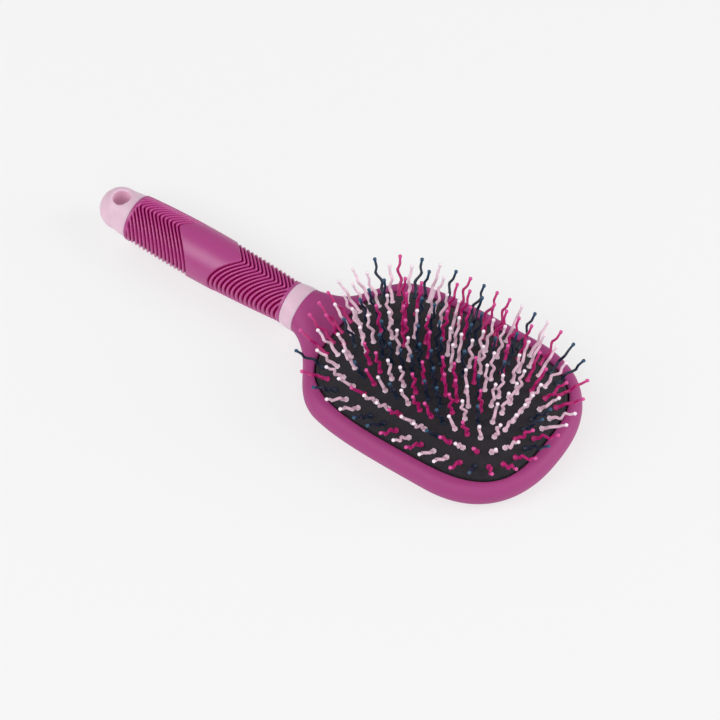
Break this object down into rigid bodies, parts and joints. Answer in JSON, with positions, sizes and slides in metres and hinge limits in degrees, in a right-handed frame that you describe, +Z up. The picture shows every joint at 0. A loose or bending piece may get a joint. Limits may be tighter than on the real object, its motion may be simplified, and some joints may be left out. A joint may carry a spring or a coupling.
{
  "type": "detangling hair brush",
  "caption": "Paddle detangling brush with a domed pin cushion, wavy ball-tipped pins, neck collar, ribbed grip sleeve and end cap with a hang hole.",
  "frame": {"origin": "middle of the paddle's flat back, under the centre of the cushion opening", "axes": "+X toward the toe of the paddle, handle to -X, +Z up through the cushion and along the pins"},
  "size_m": [0.2385, 0.0894, 0.0406],
  "materials": {
    "soft_touch_plum": "soft-touch coating, satin",
    "retainer_plastic": "black moulded plastic",
    "cushion_fabric": "rubber membrane faced with a fine dark weave",
    "pale_pink_plastic": "smooth, satin gloss",
    "grip_rubber": "moulded rubber, fine matt grain",
    "pin_pale": "smooth nylon",
    "pin_magenta": "smooth nylon",
    "pin_navy": "smooth nylon"
  },
  "bodies": {
    "handle": {"paddle_body": "soft_touch_plum", "retaining_ring": "retainer_plastic", "cushion_surround": "cushion_fabric", "neck_collar": "pale_pink_plastic", "grip_sleeve": "grip_rubber", "end_cap": "pale_pink_plastic"},
    "pin_bed": {"pin_ring_1": "cushion_fabric", "pin_ring_2": "cushion_fabric", "pin_ring_3": "cushion_fabric", "pin_ring_4": "cushion_fabric", "pin_ring_5": "cushion_fabric", "pin_ring_6": "cushion_fabric"}
  },
  "joints": [
    {"name": "cushion_press", "type": "slide", "parent": "handle", "child": "pin_bed", "axis": [0, 0, -1], "range_m": [0, 0.003], "stiffness_N_per_m": 2500, "deforming": ["cushion_surround"]}
  ]
}
